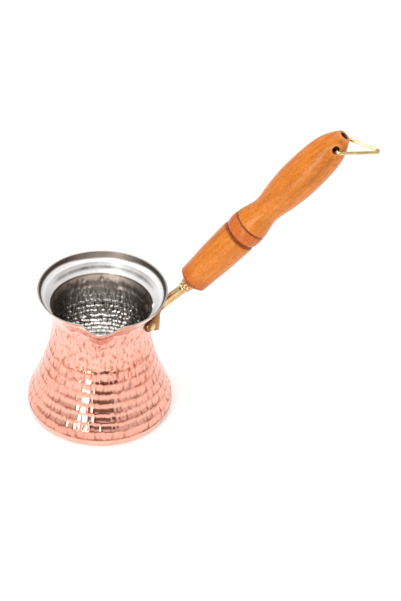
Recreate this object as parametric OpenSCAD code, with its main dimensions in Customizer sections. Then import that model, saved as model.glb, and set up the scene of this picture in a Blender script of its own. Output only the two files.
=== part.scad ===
// Turkish coffee pot (cezve): a hammered copper body with a tin lining and a pinched pouring lip,
// a cast brass bracket riveted to the neck, a turned wooden handle on a steel tang, and a wire
// hanging loop that swings in a cross hole near the handle's tip.
// Frame: origin at the centre of the base, on the surface the pot stands on. +Z is up,
// the pouring lip points along -Y and the handle leans out along +X.

/* [Pot] */
// Height from the base to the lip
pot_h = 87; // [80:1:95]
// Outer radius of the mouth
mouth_r = 40; // [38.5:0.5:42]
// Outer radius of the crease where the lip band begins
crease_r = 37.5; // [36.5:0.1:38]
// Depth of the lip band below the lip
lip_band = 4.6; // [3.5:0.1:5]
// Outer radius of the neck, the narrowest place
neck_r = 29.9; // [28:0.1:31]
// Height of the neck
neck_z = 61; // [58:1:63]
// Radius that the flank would reach at floor level without its rounded foot
flank_r = 49.5; // [48:0.5:51]
// Outer radius of the base at floor level
base_r = 42.2; // [41:0.2:43]
// Height at which the flank starts to round in towards the foot
foot_z = 12.2; // [11:0.2:13]
// Radius of the edge under the base
base_edge = 1.6; // [1:0.2:2]
// Thickness of the copper wall
copper_t = 1; // [0.9:0.1:1.3]
// Thickness of the tin lining
tin_t = 0.3; // [0.2:0.1:0.4]

/* [Pouring lip] */
// Reach of the lip's tip from the pot's axis
spout_reach = 47.2; // [44:0.1:49]
// Half width of the pinch at the mouth
spout_half_w = 11.5; // [10:0.5:12.5]
// Radius of the tip at the mouth
spout_tip_r = 4; // [3.5:0.5:5]
// Height at which the pinch has faded into the wall
spout_low_z = 60; // [57:1:63]

/* [Bracket] */
// Thickness of the saddle band on the neck
saddle_t = 1.8; // [1.5:0.1:2.2]
// Thickness of the round pads under the side rivets, which stand a little proud of the band
pad_t = 2.4; // [2.3:0.1:2.8]
// Height of the saddle band
saddle_h = 8.4; // [7:0.2:9]
// Angle from the handle's plane to each side rivet
rivet_angle = 16; // [15:1:24]
// Height of the side rivets
rivet_z = 67.5; // [67:0.5:70]
// Radius of the round pads under the side rivets
lobe_r = 4; // [3.6:0.1:4.4]
// Radius of the rivet shanks
shank_r = 1.6; // [1.4:0.1:1.8]
// Width of the tongue that carries the handle
tongue_w = 6.4; // [5.6:0.2:7]
// Thickness of the tongue
tongue_t = 3; // [2.6:0.2:3.4]
// Slope of the tongue above the horizontal
tongue_slope = 46; // [45:1:48]

/* [Handle] */
// Angle of the handle above the horizontal
handle_tilt = 52.3; // [51:0.1:54]
// Distance from the pot's axis to the shoulder of the handle's front end
handle_x = 54.9; // [54:0.1:55.5]
// Height of the shoulder of the handle's front end
handle_z = 98.2; // [97.5:0.1:99]
// Length of the handle from its front shoulder to its tip
handle_l = 133.8; // [133:0.2:137]
// Length of the cone in front of the shoulder
handle_cone = 4.2; // [3.8:0.1:4.6]
// Radius of the bore along the handle
bore_r = 2.4; // [2.2:0.1:2.6]
// Length of the tang inside the handle
tang_in = 70; // [50:5:90]

/* [Hanging loop] */
// Radius of the wire
wire_r = 1; // [0.8:0.1:1.1]
// Radius of the cross hole in the handle
eye_r = 2; // [1.9:0.1:2.3]
// Distance of the cross hole from the handle's tip
eye_back = 6.9; // [6.5:0.1:7.5]
// Distance of the cross hole above the handle's axis
eye_rise = 0.5; // [0:0.1:0.8]
// Length of the loop from the wire's axis in the hole to the apex
loop_l = 24.4; // [23:0.2:26]
// Half width of the loop at the cross hole
loop_half_w = 9.9; // [9:0.1:10]
// Angle by which the loop lies below the horizontal at rest
loop_drop = 8.5; // [5:0.5:9]

/* [Hidden] */
$fn = 96;

copper = [0.86, 0.55, 0.44];
tin = [0.75, 0.74, 0.72];
brass = [0.83, 0.67, 0.36];
steel = [0.62, 0.63, 0.65];
wood = [0.83, 0.47, 0.18];

// Wall outline: a power curve for the flank, a square one for the foot and a steeper one for the flare.
flank_power = 1.62;
flare_power = 3;
crease_z = pot_h - lip_band;
flank_k = (flank_r - neck_r) / pow(neck_z, flank_power);
foot_k = (flank_r - base_r) / pow(foot_z, 2);
flare_k = (crease_r - neck_r) / pow(crease_z - neck_z, flare_power);
wall_steps = 30;

// Spout keel: the middle section, as a height, a reach and a half width.
keel_mid_z = 74;
keel_mid_reach = 37.2;
keel_mid_half_w = 6;
keel_mid_tip_r = 2.6;
slice = 0.01;

// Rivet heads.
head_r = 2.7;
head_h = 1.9;
inner_head_h = 0.9;
centre_z = 74.3;
blind_depth = 3.5;

// Bracket root, in the handle's plane.
root_x = 35.6;
root_low_z = 60;
root_edge = 2;

// Collar between the tongue and the wood, measured along the handle's axis.
collar_back = 9.6;
bead_r = 3.9;
bead_h = 1.6;
collar_waist_r = 3.3;
collar_end_r = 4.6;

tang_gap = 0.05;
tang_r = bore_r - tang_gap;
tang_seat = 4.2;

// Handle outline, as [distance from the front shoulder, radius].
barrel_points = [[0, 9.3], [5, 9.55], [11, 9.9], [20.5, 10.5], [30.5, 10.85], [38, 11.05], [41, 10.95], [41.7, 10.5]];
ring_points = [[43.7, 10.3], [45, 11.1], [48, 11.35], [51, 11.1], [52.1, 10.6]];
grip_points = [[53, 10.6], [54.2, 10.8], [60.5, 9.3], [65.5, 8.5], [70.5, 8.9], [75.5, 9.75], [80.5, 10.5],
               [85.5, 11.05], [90.5, 11.5], [96, 11.66], [100.5, 11.6], [105.5, 11.5], [110.5, 11.2],
               [115.5, 10.75], [120.5, 9.9], [125.5, 8.4], [129.5, 6.5], [131.8, 5.2]];
front_groove_r = 9.5;
rear_groove_r = 10.1;
tip_r = 4.1;
curve_steps = 5;

// Hanging loop: the bends, and where the wire lies in its hole.
corner_bend_r = 1.7;
apex_bend_r = 1.8;
wire_sag_x = 0.45;
wire_sag_z = 0.75;
eye_s = handle_l - eye_back;
eye_x = handle_x + eye_s * cos(handle_tilt) - eye_rise * sin(handle_tilt);
eye_z = handle_z + eye_s * sin(handle_tilt) + eye_rise * cos(handle_tilt);
leg_slant = atan(loop_half_w / (loop_l + apex_bend_r * 2.2));
apex_u = loop_l + apex_bend_r * (1 / sin(leg_slant) - 1);
leg_angle = atan(loop_half_w / apex_u);
leg_lap = 0.2;
leg_thinner = 0.02;

function wall_r(z) =
    z < neck_z ? neck_r + flank_k * pow(neck_z - z, flank_power) - foot_k * pow(max(foot_z - z, 0), 2)
    : z < crease_z ? neck_r + flare_k * pow(z - neck_z, flare_power)
    : crease_r + (mouth_r - crease_r) * (z - crease_z) / lip_band;

function wall_slope(z) = (wall_r(z + 0.1) - wall_r(z - 0.1)) / 0.2;

// Radius of the wall's surface at a depth inside the copper, measured square to the wall.
function inset_r(z, depth) = wall_r(z) - depth * sqrt(1 + pow(wall_slope(z), 2));

function level(i) = base_edge + (crease_z - base_edge) * i / wall_steps;

function curve_point(a, b, c, d, t) =
    0.5 * (2 * b + (c - a) * t + (2 * a - 5 * b + 4 * c - d) * t * t + (3 * b - a - 3 * c + d) * t * t * t);

// Smooth curve through the points.
function curve(p) = let (n = len(p) - 1) concat(
    [for (i = [0 : n - 1], k = [0 : curve_steps - 1])
        curve_point(p[max(i - 1, 0)], p[i], p[i + 1], p[min(i + 2, n)], k / curve_steps)],
    [p[n]]);

function swap_xy(p) = [for (q = p) [q[1], q[0]]];

// Solid of the pot's outer shape, or of the space at a depth inside it, running past the mouth by over.
module pot_form(depth, over = 0) {
    edge = base_edge - depth > 0.2 ? base_edge - depth : 0.2;
    edge_r = inset_r(base_edge, depth) - edge;
    rotate_extrude() polygon(concat(
        [[0, depth]],
        [for (a = [-90 : 15 : 0]) [edge_r + edge * cos(a), depth + edge + edge * sin(a)]],
        [for (i = [1 : wall_steps]) [inset_r(level(i), depth), level(i)]],
        [[inset_r(pot_h - 0.2, depth) + (mouth_r - crease_r) / lip_band * 0.2, pot_h]],
        over > 0 ? [[inset_r(pot_h - 0.2, depth) + 0.2, pot_h + over]] : [],
        [[0, pot_h + over]]));
}

module pinch_slice(z, reach, half_w, round_r, flank_y) {
    translate([0, 0, z - slice])
    linear_extrude(slice)
    polygon(concat(
        [[half_w, -flank_y + 8], [half_w, -flank_y]],
        [for (a = [60 : -15 : -60]) [round_r * sin(a), -(reach - round_r) - round_r * cos(a)]],
        [[-half_w, -flank_y], [-half_w, -flank_y + 8]]));
}

// The pinch that makes the pouring lip, or the channel at a depth inside it.
module pinch(depth, over = 0) {
    mouth_flank = sqrt(pow(mouth_r, 2) - pow(spout_half_w, 2));
    hull() {
        pinch_slice(pot_h + over, spout_reach - depth, spout_half_w - depth, spout_tip_r - depth, mouth_flank - depth);
        pinch_slice(keel_mid_z, keel_mid_reach - depth, keel_mid_half_w - depth, keel_mid_tip_r - depth, 31 - depth);
    }
    hull() {
        pinch_slice(keel_mid_z, keel_mid_reach - depth, keel_mid_half_w - depth, keel_mid_tip_r - depth, 31 - depth);
        pinch_slice(spout_low_z, neck_r - 0.3 - depth, 2.2, 1, neck_r - 3 - depth);
    }
}

module pot_outside() {
    pot_form(0);
    pinch(0);
}

module pot_inside(depth, over) {
    pot_form(depth, over);
    pinch(depth, over);
}

// Places children with +Z square to the wall, outwards, at an angle round the neck and a height.
module on_wall(angle, z, depth = 0) {
    rotate([0, 0, angle])
    translate([wall_r(z), 0, z])
    rotate([0, 90 + atan(wall_slope(z)), 0])
    translate([0, 0, -depth])
    children();
}

// Places children with +Z along the handle, from its front shoulder.
module on_handle(s = 0) {
    translate([handle_x, 0, handle_z])
    rotate([0, 90 - handle_tilt, 0])
    translate([0, 0, s])
    children();
}

module cap(radius, height) {
    ball = (pow(radius, 2) + pow(height, 2)) / (2 * height);
    intersection() {
        translate([0, 0, height - ball]) sphere(ball);
        cylinder(r = radius, h = height);
    }
}

module rivet_holes() {
    for (side = [-1, 1])
        on_wall(side * rivet_angle, rivet_z, 5) cylinder(r = shank_r, h = 12);
    on_wall(0, centre_z, 5) cylinder(r = shank_r, h = 5 + blind_depth);
}

module copper_body() {
    color(copper)
    difference() {
        pot_outside();
        pot_inside(copper_t, 1);
        rivet_holes();
    }
}

module tin_lining() {
    color(tin)
    difference() {
        pot_inside(copper_t, 0);
        pot_inside(copper_t + tin_t, 1);
        rivet_holes();
    }
}

// Band round the neck that the lobes and the root grow from.
module saddle_band() {
    low = rivet_z - saddle_h / 2;
    high = rivet_z + saddle_h / 2;
    half_angle = rivet_angle - 3;
    rotate([0, 0, -half_angle])
    rotate_extrude(angle = 2 * half_angle)
    polygon([[wall_r(low) - 1, low], [wall_r(low) + saddle_t, low],
             [wall_r(high) + saddle_t, high], [wall_r(high) - 1, high]]);
}

// Upright root and sloping tongue, as one outline in the handle's plane.
module tongue() {
    end_x = handle_x - collar_back * cos(handle_tilt);
    end_z = handle_z - collar_back * sin(handle_tilt);
    half = tongue_t / 2;
    rise = half / cos(tongue_slope);
    rotate([90, 0, 0])
    translate([0, 0, -tongue_w / 2])
    linear_extrude(tongue_w)
    polygon(concat(
        [[neck_r - 2, root_low_z]],
        [for (a = [-90 : 15 : 0])
            [root_x - root_edge + root_edge * cos(a), root_low_z + root_edge + root_edge * sin(a)]],
        [[root_x, 72],
         [root_x + 0.7, 75],
         [38.2, end_z + (38.2 - end_x) * tan(tongue_slope) - rise],
         [end_x + half * sin(tongue_slope), end_z - half * cos(tongue_slope)],
         [end_x + 2, end_z + 1],
         [end_x - half * sin(tongue_slope), end_z + half * cos(tongue_slope)],
         [33, end_z + (33 - end_x) * tan(tongue_slope) + rise],
         [neck_r - 1, end_z + (33 - end_x) * tan(tongue_slope) + rise]]));
}

module collar() {
    on_handle(-collar_back)
    rotate_extrude()
    polygon(concat(
        [[0, 0]],
        [for (a = [-90 : 15 : 90]) [bead_r - bead_h / 2 + bead_h / 2 * cos(a), bead_h / 2 + bead_h / 2 * sin(a)]],
        [[collar_waist_r, bead_h + 0.4]],
        [for (a = [0 : 15 : 90])
            [collar_end_r - (collar_end_r - collar_waist_r) * cos(a),
             bead_h + 0.8 + (collar_back - handle_cone - bead_h - 1.4) * sin(a)]],
        [[collar_end_r, collar_back - handle_cone], [0, collar_back - handle_cone]]));
}

module handle_bracket() {
    color(brass)
    difference() {
        union() {
            saddle_band();
            for (side = [-1, 1])
                on_wall(side * rivet_angle, rivet_z, 1.5) cylinder(r = lobe_r, h = 1.5 + pad_t);
            tongue();
            collar();
        }
        pot_form(0);
        rivet_holes();
        on_handle(-handle_cone - tang_seat) cylinder(r = tang_r, h = tang_seat + 1);
    }
}

// Inner head of a rivet, seated on the lining.
module inner_head(angle, z) {
    difference() {
        on_wall(angle, z, copper_t + tin_t) mirror([0, 0, 1]) cap(head_r, inner_head_h);
        difference() {
            pot_form(0);
            pot_form(copper_t + tin_t);
        }
    }
}

module side_rivets() {
    color(brass)
    for (side = [-1, 1]) {
        on_wall(side * rivet_angle, rivet_z, copper_t + tin_t + 0.2)
            cylinder(r = shank_r, h = copper_t + tin_t + 0.2 + pad_t);
        on_wall(side * rivet_angle, rivet_z, -pad_t) cap(head_r, head_h);
        inner_head(side * rivet_angle, rivet_z);
    }
}

module centre_rivet() {
    color(brass)
    union() {
        on_wall(0, centre_z, copper_t + tin_t + 0.2)
            cylinder(r = shank_r, h = copper_t + tin_t + 0.2 + blind_depth);
        inner_head(0, centre_z);
    }
}

module handle_tang() {
    color(steel)
    on_handle(-handle_cone - tang_seat) cylinder(r = tang_r, h = handle_cone + tang_seat + tang_in);
}

module wooden_handle() {
    color(wood)
    difference() {
        on_handle()
        rotate_extrude()
        polygon(swap_xy(concat(
            [[-handle_cone, 0], [-handle_cone, collar_end_r]],
            curve(barrel_points),
            [[42.3, front_groove_r], [43.1, front_groove_r]],
            curve(ring_points),
            [[52.5, rear_groove_r]],
            curve(grip_points),
            [[handle_l, tip_r], [handle_l, 0]])));
        on_handle(-handle_cone - 1) cylinder(r = bore_r, h = handle_l + handle_cone + 2);
        translate([eye_x, 0, eye_z]) rotate([90, 0, 0]) cylinder(r = eye_r, h = 40, center = true);
    }
}

// Straight stretch of wire in the loop's plane.
module wire(from, to, radius) {
    run = to - from;
    translate([from[0], from[1], 0])
    rotate([0, 0, atan2(run[1], run[0])])
    rotate([0, 90, 0])
    cylinder(r = radius, h = norm(run));
}

// Bend in the wire about a centre, from one angle through a sweep.
module wire_bend(centre, bend_r, start, sweep) {
    translate([centre[0], centre[1], 0])
    rotate([0, 0, start])
    rotate_extrude(angle = sweep)
    translate([bend_r, 0])
    circle(r = wire_r);
}

// One closed wire: a straight pin through the cross hole, and two legs that meet in a round apex.
// The legs are a hair thinner than the bends and run a little way into them.
module hanging_loop() {
    corner_y = loop_half_w - corner_bend_r * tan(45 + leg_angle / 2);
    apex_centre = apex_u - apex_bend_r / sin(leg_angle);
    square = [sin(leg_angle), cos(leg_angle)];
    along = [cos(leg_angle), -sin(leg_angle)];
    leg_from = [corner_bend_r, corner_y] + corner_bend_r * square - leg_lap * along;
    leg_to = [apex_centre, 0] + apex_bend_r * square + leg_lap * along;
    color(brass)
    translate([eye_x + wire_sag_x, 0, eye_z - wire_sag_z])
    rotate([0, loop_drop, 0])
    union() {
        wire([0, -corner_y], [0, corner_y], wire_r);
        for (side = [0, 1])
            mirror([0, side, 0]) {
                wire_bend([corner_bend_r, corner_y], corner_bend_r, 180, -90 - leg_angle);
                wire(leg_from, leg_to, wire_r - leg_thinner);
            }
        wire_bend([apex_centre, 0], apex_bend_r, -90 + leg_angle, 180 - 2 * leg_angle);
    }
}

copper_body();
tin_lining();
handle_bracket();
side_rivets();
centre_rivet();
handle_tang();
wooden_handle();
hanging_loop();
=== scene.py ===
"""Looks of the copper coffee pot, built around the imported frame."""

import math

import bmesh
import bpy
import numpy as np
from mathutils import Matrix, Vector


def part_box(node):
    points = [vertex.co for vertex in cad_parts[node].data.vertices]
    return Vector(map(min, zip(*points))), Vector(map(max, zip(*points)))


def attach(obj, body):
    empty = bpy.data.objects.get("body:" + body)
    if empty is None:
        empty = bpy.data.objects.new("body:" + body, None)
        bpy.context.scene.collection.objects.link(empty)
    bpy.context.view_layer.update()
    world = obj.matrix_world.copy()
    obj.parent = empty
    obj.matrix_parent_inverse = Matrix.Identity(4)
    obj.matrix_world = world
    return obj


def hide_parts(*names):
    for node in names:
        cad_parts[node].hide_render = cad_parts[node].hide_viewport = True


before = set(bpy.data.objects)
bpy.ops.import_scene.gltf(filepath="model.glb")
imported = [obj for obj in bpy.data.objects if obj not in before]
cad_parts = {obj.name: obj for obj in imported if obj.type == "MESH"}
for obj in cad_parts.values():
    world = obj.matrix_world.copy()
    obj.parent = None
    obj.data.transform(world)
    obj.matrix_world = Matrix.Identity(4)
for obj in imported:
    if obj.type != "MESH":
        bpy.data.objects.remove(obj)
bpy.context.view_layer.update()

MM = 0.001
TAU = 2 * math.pi

# ---------------------------------------------------------------- sizes, in millimetres
POT_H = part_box("copper_body")[1].z / MM
MOUTH_R = 40.0
CREASE_R = 37.5
LIP_BAND = 4.6
NECK_R, NECK_Z = 29.9, 61.0
FLANK_R, BASE_R, FOOT_Z = 49.5, 42.2, 12.2
BASE_EDGE = 1.6
COPPER_T, TIN_T = 1.0, 0.3
FLANK_POWER, FLARE_POWER = 1.62, 3.0
CREASE_Z = POT_H - LIP_BAND
FLANK_K = (FLANK_R - NECK_R) / NECK_Z**FLANK_POWER
FOOT_K = (FLANK_R - BASE_R) / FOOT_Z**2
FLARE_K = (CREASE_R - NECK_R) / (CREASE_Z - NECK_Z) ** FLARE_POWER
LIP_ROUND = 0.45

SPOUT_REACH = -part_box("copper_body")[0].y / MM
SPOUT_LEFT_SLOPE, SPOUT_RIGHT_SLOPE = 1.65, 1.12
SPOUT_ROUND = 7.5
SPOUT_SIDE = 0.5
SPOUT_LOW_Z = 52.0
SPOUT_DROOP = 0.2
SPOUT_SHORT = 0.9
SPOUT_HALF_W = 20
LIP_DENTS = ((1.5, -14, 7), (0.9, -11, 2.5), (0.5, 16, 4))
LIP_DENT_LOW_Z, LIP_DENT_RISE = 74, 12
MOUTH_SQUEEZE = 0.020
MOUTH_SHIFT = 0.6
MOUTH_LOW_Z, MOUTH_RISE = 72, 15

COLLAR_LOW_Z = 75.8
COLLAR_HOLLOW = 0.3
BAND_LIFT, BAND_RISE, BAND_EDGE_W = 0.9, 1.0, 0.9
LINING_SHIFT, LINING_FADE = 0.9, 3.0
LINING_LOW_Z, LINING_FLOOR_R = 4.5, 3.2
CREASE_DROP, CREASE_W, CREASE_T = 0.5, 0.5, 0.25
INNER_RELIEF = 2.2
SKIN_T, SKIN_THINNING = 0.8, 0.4
SKIN_GAP = 0.08
ZONE_COLLAR, ZONE_LIP, ZONE_BAND = 0.5, 0.8, 1.0
TARNISH_STREAKS = ((1.0, 79.2, 1.15), (0.6, 81.2, 0.5))

ROW_LOW_Z = 8.8
ROW_PITCH, ROW_PITCH_GROWTH, ROW_PITCH_MOST = 5.25, 0.2, 6.7
ROW_FORCE = [1.9, 1.4, 1.25, 1.1, 0.9, 0.9, 1.25, 1.7, 1.4, 0.8, 0.4, 0.35]
DENT_W = 2.5
INNER_FINENESS = 0.66
ROW_DEPTH = 0.20
DENT_DEPTH = 0.09
DEEPEST = 0.55
STRAY_BLOWS = 620
STRAY_STRETCH = 1.5
STRAY_LOW_Z, STRAY_HIGH_Z = 38.0, 79.0
SEGMENTS = 456
FINE_ROWS = 160

HANDLE_TILT = math.radians(52.3)
HANDLE_X, HANDLE_Z = 54.9, 98.2
HANDLE_L, HANDLE_CONE = 133.8, 4.2
COLLAR_END_R, TIP_R = 4.6, 4.1
BORE_R = 2.4
EYE_R, EYE_S, EYE_RISE = 2.0, HANDLE_L - 6.9, 0.5

RIVET_ANGLE = math.radians(16)
RIVET_Z, CENTRE_Z = 67.5, 74.3
SADDLE_T, PAD_T, SADDLE_H, LOBE_R = 1.8, 2.4, 8.4, 4.0
HEAD_R, HEAD_H, INNER_HEAD_H = 2.7, 1.9, 0.7
HEAD_INSET_R, HEAD_INSET_H = 0.5, 0.1
COVER_T, COVER_EDGE = 0.35, 0.4
WALL_LEAN = 1.03
SHANK_R = 1.6
TONGUE_W, TONGUE_T = 6.4, 3.0
TONGUE_SLOPE = math.radians(46)
COLLAR_BACK = 9.6
ROOT_X, ROOT_EDGE, ROOT_LOW_Z = 35.6, 2.0, 60.0
CAST_VOXEL = 0.2

WIRE_R = 1.0
LOOP_L, LOOP_HALF_W, CORNER_R, APEX_R = 24.4, 9.9, 1.7, 1.8
LOOP_DROP = math.radians(8.5)
WIRE_SAG = (0.45, -0.75)


# ---------------------------------------------------------------- outlines
def wall_r(z):
    """Outer radius of the copper wall at a height."""
    z = np.asarray(z, float)
    foot = FOOT_K * np.maximum(FOOT_Z - z, 0) ** 2
    flank = NECK_R + FLANK_K * np.maximum(NECK_Z - z, 0) ** FLANK_POWER - foot
    flare = NECK_R + FLARE_K * np.maximum(z - NECK_Z, 0) ** FLARE_POWER
    lip = CREASE_R + (MOUTH_R - CREASE_R) * (z - CREASE_Z) / LIP_BAND
    return np.where(z < NECK_Z, flank, np.where(z < CREASE_Z, flare, lip))


def wall_slope(z):
    return (wall_r(np.asarray(z) + 0.1) - wall_r(np.asarray(z) - 0.1)) / 0.2


def inset_r(z, depth):
    """Radius of the surface at a depth inside the wall."""
    return wall_r(z) - depth * np.sqrt(1 + wall_slope(z) ** 2)


def smooth(t):
    t = np.clip(t, 0, 1)
    return t * t * (3 - 2 * t)


def bell(value, centre, width):
    """1 at the centre, falling smoothly to nothing on both sides."""
    return np.exp(-(((value - centre) / width) ** 2))


def curve(points, steps=8):
    """Catmull-Rom curve through the points."""
    p = np.array(points, float)
    out = []
    for i in range(len(p) - 1):
        a, b, c, d = p[max(i - 1, 0)], p[i], p[i + 1], p[min(i + 2, len(p) - 1)]
        for k in range(steps):
            t = k / steps
            out.append(0.5 * (2 * b + (c - a) * t + (2 * a - 5 * b + 4 * c - d) * t**2
                              + (3 * b - a - 3 * c + d) * t**3))
    return np.array(out + [p[-1]])


def handle_point(s, across=0.0, y=0.0):
    """Point at a distance along the handle's axis and across it, upwards and backwards positive."""
    c, n = math.cos(HANDLE_TILT), math.sin(HANDLE_TILT)
    return (HANDLE_X + s * c - across * n, y, HANDLE_Z + s * n + across * c)


# ---------------------------------------------------------------- mesh helpers
def link_object(name, data):
    obj = bpy.data.objects.new(name, data)
    bpy.context.scene.collection.objects.link(obj)
    return obj


def mesh_object(name, points, faces, smooth_shading=True):
    mesh = bpy.data.meshes.new(name)
    mesh.from_pydata((np.asarray(points, float) * MM).tolist(), [], faces)
    mesh.polygons.foreach_set("use_smooth", [smooth_shading] * len(mesh.polygons))
    mesh.update()
    return link_object(name, mesh)


def grid_faces(rings, segments, ring_loop=False):
    """Quads between rings of points, each ring closed; with ring_loop the last ring joins the first."""
    faces = []
    for k in range(rings if ring_loop else rings - 1):
        a, b = k * segments, ((k + 1) % rings) * segments
        faces += [(a + i, a + (i + 1) % segments, b + (i + 1) % segments, b + i) for i in range(segments)]
    return faces


def capped_faces(rings, segments):
    """Grid faces and a fan at each end, round two pole points that follow the grid's points."""
    first, last = rings * segments, rings * segments + 1
    end = (rings - 1) * segments
    faces = grid_faces(rings, segments)
    faces += [(first, (i + 1) % segments, i) for i in range(segments)]
    faces += [(last, end + i, end + (i + 1) % segments) for i in range(segments)]
    return faces


def attribute(obj, name, values):
    """One number on every point, for the material to read."""
    values = np.asarray(values, np.float32)
    layer = obj.data.attributes.new(name, "FLOAT", "POINT")
    layer.data.foreach_set("value", values)


def points_of(obj):
    """The mesh's points, in millimetres."""
    p = np.empty(3 * len(obj.data.vertices))
    obj.data.vertices.foreach_get("co", p)
    return p.reshape(-1, 3) / MM


def shade_smooth(obj):
    obj.data.polygons.foreach_set("use_smooth", [True] * len(obj.data.polygons))


def finish_mesh(obj):
    """Consistent outward normals."""
    bm = bmesh.new()
    bm.from_mesh(obj.data)
    bmesh.ops.recalc_face_normals(bm, faces=bm.faces)
    bm.to_mesh(obj.data)
    bm.free()
    return obj


def apply_modifiers(obj):
    """Puts the evaluated mesh in place of the object's own."""
    graph = bpy.context.evaluated_depsgraph_get()
    graph.update()
    mesh = bpy.data.meshes.new_from_object(obj.evaluated_get(graph))
    old = obj.data
    obj.modifiers.clear()
    obj.data = mesh
    bpy.data.meshes.remove(old)
    mesh.name = obj.name
    return obj


def place(obj, body, slot, material, *nodes):
    obj.data.materials.clear()
    obj.data.materials.append(material)
    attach(obj, body)
    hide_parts(*nodes)


# ---------------------------------------------------------------- hammering
class Hammering:
    """Rows of overlapping upright blows, ridges between them, and shallower blows strewn over the neck."""

    def __init__(self, seed, fineness=1.0):
        random = np.random.default_rng(seed)
        self.rows = []
        z = ROW_LOW_Z
        while z < COLLAR_LOW_Z + 2:
            j = len(self.rows) * fineness
            force = ROW_FORCE[min(int(j), len(ROW_FORCE) - 1)]
            pitch = fineness * min(ROW_PITCH + ROW_PITCH_GROWTH * j, ROW_PITCH_MOST)
            count = int(round(TAU * float(wall_r(z)) / (DENT_W * fineness)))
            self.rows.append({
                "z": z,
                "pitch": pitch,
                "force": force,
                "count": count,
                "phase": random.uniform(0, 1),
                "shift": random.uniform(-0.4, 0.4, count),
                "lift": random.uniform(-0.5, 0.5, count),
                "depth": random.uniform(0.55, 1.3, count),
                "wave": random.uniform(0, TAU, 3),
            })
            z += pitch
        self.stray = np.stack([
            random.uniform(0, TAU, STRAY_BLOWS),
            random.uniform(STRAY_LOW_Z, STRAY_HIGH_Z, STRAY_BLOWS),
            random.uniform(1.3, 2.4, STRAY_BLOWS),
            random.uniform(0.05, 0.20, STRAY_BLOWS),
        ], 1)

    def depth(self, theta, z):
        """Depth of the surface in millimetres, and how far it is from the ridges, from 0 to 1."""
        best = np.full(theta.shape, 1e9)
        inside_blow = np.zeros(theta.shape)
        for row in self.rows:
            wander = 0.22 * np.sin(3 * theta + row["wave"][0]) + 0.15 * np.sin(7 * theta + row["wave"][1])
            near = np.abs(z - row["z"] - wander) < 1.2 * row["pitch"]
            if not near.any():
                continue
            t, height, drift = theta[near], z[near], wander[near]
            place_in_row = (t / TAU * row["count"] - row["phase"]) % row["count"]
            found = np.full(t.shape, 1e9)
            off_ridge = np.zeros(t.shape)
            for step in (-1, 0, 1):
                i = (np.floor(place_in_row) + step).astype(int) % row["count"]
                centre = np.floor(place_in_row) + step + 0.5 + row["shift"][i]
                dx = (place_in_row - centre) * 2
                dz = (height - row["z"] - drift - row["lift"][i]) * 2 / row["pitch"]
                hollow = DENT_DEPTH * row["depth"][i] * (1 - dx**2) + ROW_DEPTH * (1 - dz**2)
                found = np.minimum(found, -hollow)
                edge = np.clip(0.9 - 0.7 * dz, 0.2, 0.9) * np.minimum(dx**4, 1)
                off_ridge = np.maximum(off_ridge, (1 - dz**2) * (1 - edge))
            force = row["force"] * (1 + 0.2 * np.sin(2 * t + row["wave"][2]))
            best[near] = np.minimum(best[near], found * force)
            inside_blow[near] = np.maximum(inside_blow[near], off_ridge)
        depth = np.maximum(-best, 0) + self.stray_depth(theta, z)
        return np.minimum(depth, DEEPEST), inside_blow

    def stray_depth(self, theta, z):
        """Shallow upright blows strewn over the neck."""
        depth = np.zeros(theta.shape)
        for angle, level, radius, deep in self.stray:
            near = np.abs(z - level) < radius * STRAY_STRETCH
            around = (theta[near] - angle + math.pi) % TAU - math.pi
            far = np.hypot(around * wall_r(level), (z[near] - level) / STRAY_STRETCH) / radius
            depth[near] += deep * np.maximum(1 - far**2, 0)
        return depth


outer_hammering = Hammering(11)
inner_hammering = Hammering(23, INNER_FINENESS)


def hammer_strength(z):
    """Full on the wall, none on the foot's edge and the smooth band under the lip."""
    z = np.asarray(z, float)
    return smooth((z - 4.0) / 2.0) * smooth((80.5 - z) / 5)


def spout_push(x, z, radius):
    """How far the pinch pulls the wall towards -Y: a V with a round keel that fades down the neck."""
    fade = np.clip((z - SPOUT_LOW_Z) / (POT_H - SPOUT_LOW_Z), 0, 1)
    off = x - SPOUT_SIDE * fade
    slope = np.where(off < 0, SPOUT_LEFT_SLOPE, SPOUT_RIGHT_SLOPE)
    keel = radius + (SPOUT_REACH - SPOUT_SHORT - MOUTH_R) * fade**1.5
    v_shape = keel - slope * (np.sqrt(off**2 + SPOUT_ROUND**2) - SPOUT_ROUND)
    gap = v_shape - np.sqrt(np.maximum(radius**2 - x**2, 0))
    soft = 0.5 * (gap + np.sqrt(gap**2 + 0.25)) - 0.12
    return np.where(np.abs(x) < SPOUT_HALF_W, np.maximum(soft, 0) * smooth(fade * 6), 0)


def lip_dents(x, z):
    """How far the lip is pushed in where the pinch was held, on both sides of the spout."""
    pushed = sum(depth * bell(x, at, width) for depth, at, width in LIP_DENTS)
    return pushed * smooth((z - LIP_DENT_LOW_Z) / LIP_DENT_RISE)


def rivet_bump(theta, z):
    """Height of the lining over the rivets' inner heads. Angle 0 is -Y."""
    ball = (HEAD_R**2 + INNER_HEAD_H**2) / (2 * INNER_HEAD_H)
    height = np.zeros(theta.shape)
    for angle, level in ((-RIVET_ANGLE, RIVET_Z), (RIVET_ANGLE, RIVET_Z), (0.0, CENTRE_Z)):
        around = (theta - math.pi / 2 - angle + math.pi) % TAU - math.pi
        far = np.hypot(around * float(inset_r(level, COPPER_T + TIN_T)), (z - level) * WALL_LEAN)
        cap = np.sqrt(np.maximum(ball**2 - far**2, 0)) - (ball - INNER_HEAD_H)
        height = np.maximum(height, np.where(far < HEAD_R + COVER_EDGE, cap + COVER_T, 0))
    return height


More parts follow.
